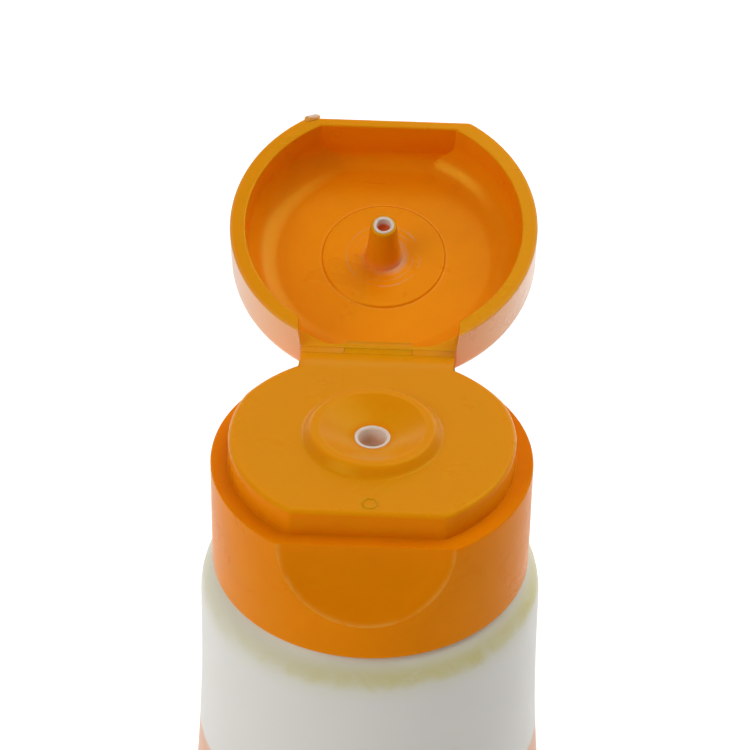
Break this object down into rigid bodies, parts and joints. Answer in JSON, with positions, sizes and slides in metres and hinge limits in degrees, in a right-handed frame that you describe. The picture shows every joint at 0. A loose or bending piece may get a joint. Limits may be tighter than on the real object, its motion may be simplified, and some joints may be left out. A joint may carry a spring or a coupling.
{
  "type": "sunscreen squeeze tube",
  "caption": "Squeeze tube with a crimped end and a pressed-on flip-top cap; the hinged lid stands open over a round outlet and carries a hollow sealing pin.",
  "frame": {"origin": "middle of the lower edge of the crimped seal, on the axis of the tube", "axes": "+Z along the tube from the crimped seal to the cap, +Y to the hinge at the back, X along the hinge and along the crimped seal"},
  "size_m": [0.055, 0.0612, 0.1173],
  "materials": {
    "tube_film": "white extruded polyethylene sleeve, satin gloss, with soft yellow and peach print zones",
    "tube_head": "white moulded polyethylene",
    "cap": "orange moulded polypropylene, satin gloss",
    "hinge_film": "the same orange polypropylene, thin enough to let light through"
  },
  "bodies": {
    "tube": {"tube_sleeve": "tube_film", "tube_head": "tube_head", "cap_base": "cap", "film_hinge_left": "hinge_film", "film_hinge_right": "hinge_film", "snap_strap": "hinge_film"},
    "lid": {"lid": "cap"}
  },
  "joints": [
    {"name": "lid_hinge", "type": "hinge", "parent": "tube", "child": "lid", "pos_m": [0, 0.0148, 0.1055], "axis": [1, 0, 0], "range_deg": [-19.1, 160.9], "deforming": ["film_hinge_left", "film_hinge_right", "snap_strap"]}
  ]
}
